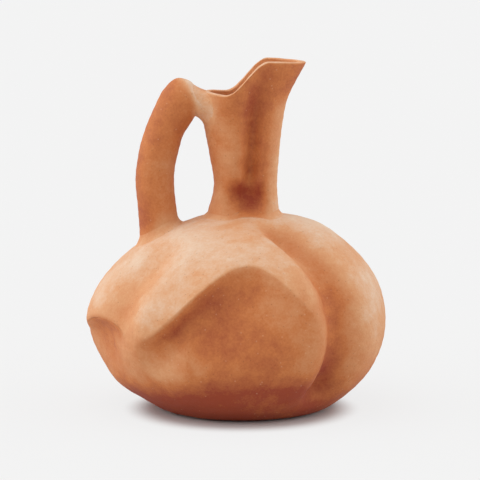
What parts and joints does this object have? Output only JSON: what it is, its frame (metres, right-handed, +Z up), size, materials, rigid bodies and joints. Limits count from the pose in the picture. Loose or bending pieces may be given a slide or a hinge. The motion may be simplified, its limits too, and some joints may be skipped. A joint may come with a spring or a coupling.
{
  "type": "pitcher",
  "caption": "Unglazed folded earthenware pitcher with a dented round belly, a narrow pinched neck, a beak spout and an oval loop handle, for pouring water or wine.",
  "frame": {"origin": "middle of the flat foot, on the surface the pitcher stands on", "axes": "+Z up, +X the way the spout pours, -X the handle, -Y the front with the largest dent"},
  "size_m": [0.1609, 0.1444, 0.1847],
  "materials": {
    "clay": "unglazed, matt, smoothed by hand",
    "pale_clay": "unglazed, matt, smeared with a finger",
    "red_clay": "unglazed, matt, fired redder near the kiln shelf"
  },
  "bodies": {
    "root": {"belly": "clay", "floor_disc": "red_clay", "floor_luting_coil": "red_clay", "neck": "clay", "neck_luting_coil": "pale_clay", "handle": "clay", "handle_top_luting_coil": "pale_clay", "handle_foot_luting_coil": "pale_clay"}
  },
  "joints": []
}
